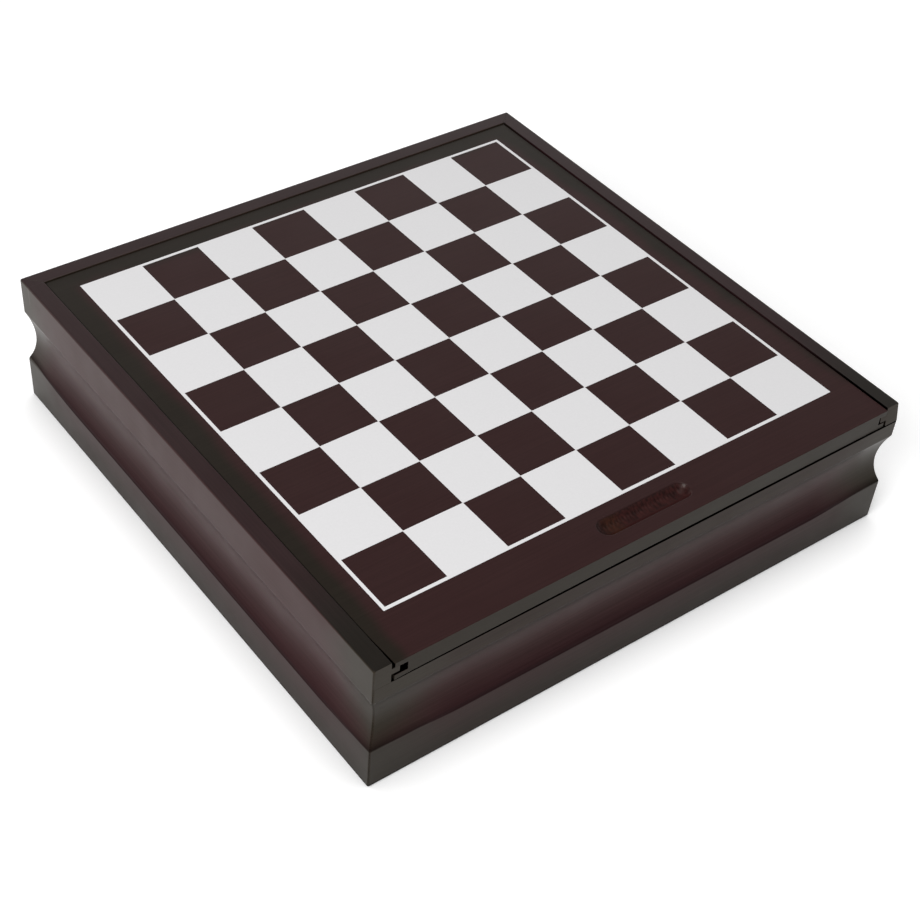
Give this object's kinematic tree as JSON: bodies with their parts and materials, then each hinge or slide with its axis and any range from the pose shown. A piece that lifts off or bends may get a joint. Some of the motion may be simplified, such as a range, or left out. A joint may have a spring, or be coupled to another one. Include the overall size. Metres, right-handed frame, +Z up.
{
  "type": "games compendium box",
  "caption": "Square wooden games box with cove-moulded walls, a chess board lid that slides out to the front, and compartments filled with chessmen, draughts, dominoes, dice and cards.",
  "frame": {"origin": "middle of the plane the box stands on", "axes": "+Z up, the lid slides out towards -Y (the front), +X to the right seen from the front"},
  "size_m": [0.3, 0.3, 0.072],
  "materials": {
    "lacquered_wood": "satin dark walnut lacquer",
    "board_wood": "chequered board with satin dark walnut lacquer and ivory squares",
    "base_wood": "thin hardboard with a dark stained face",
    "divider_wood": "thin stained plywood",
    "steel": "bright steel wire and strip",
    "light_wood": "clear satin varnish",
    "dark_wood": "dark stained, satin varnish",
    "domino_plastic": "polished black with ivory pips",
    "dice_plastic": "polished ivory with black pips",
    "red_card": "smooth varnished card",
    "blue_card": "smooth varnished card",
    "card_stock": "smooth coated paper"
  },
  "bodies": {
    "case": {"back_wall": "lacquered_wood", "base_brads": "steel", "base_panel": "base_wood", "blue_deck": "card_stock", "blue_tuck_box": "blue_card", "cross_divider": "divider_wood", "dark_bishops": "dark_wood", "dark_draughts": "dark_wood", "dark_king": "dark_wood", "dark_knights": "dark_wood", "dark_pawns": "dark_wood", "dark_queen": "dark_wood", "dark_rooks": "dark_wood", "dice": "dice_plastic", "dominoes": "domino_plastic", "draught_divider": "divider_wood", "front_wall": "lacquered_wood", "left_wall": "lacquered_wood", "light_bishops": "light_wood", "light_draughts": "light_wood", "light_king": "light_wood", "light_knights": "light_wood", "light_pawns": "light_wood", "light_queen": "light_wood", "light_rooks": "light_wood", "long_divider": "divider_wood", "red_deck": "card_stock", "red_tuck_box": "red_card", "right_wall": "lacquered_wood", "v_nails": "steel"},
    "lid": {"lid_board": "board_wood"}
  },
  "joints": [
    {"name": "lid_slide", "type": "slide", "parent": "case", "child": "lid", "axis": [0, -1, 0], "range_m": [0, 0.292]}
  ]
}
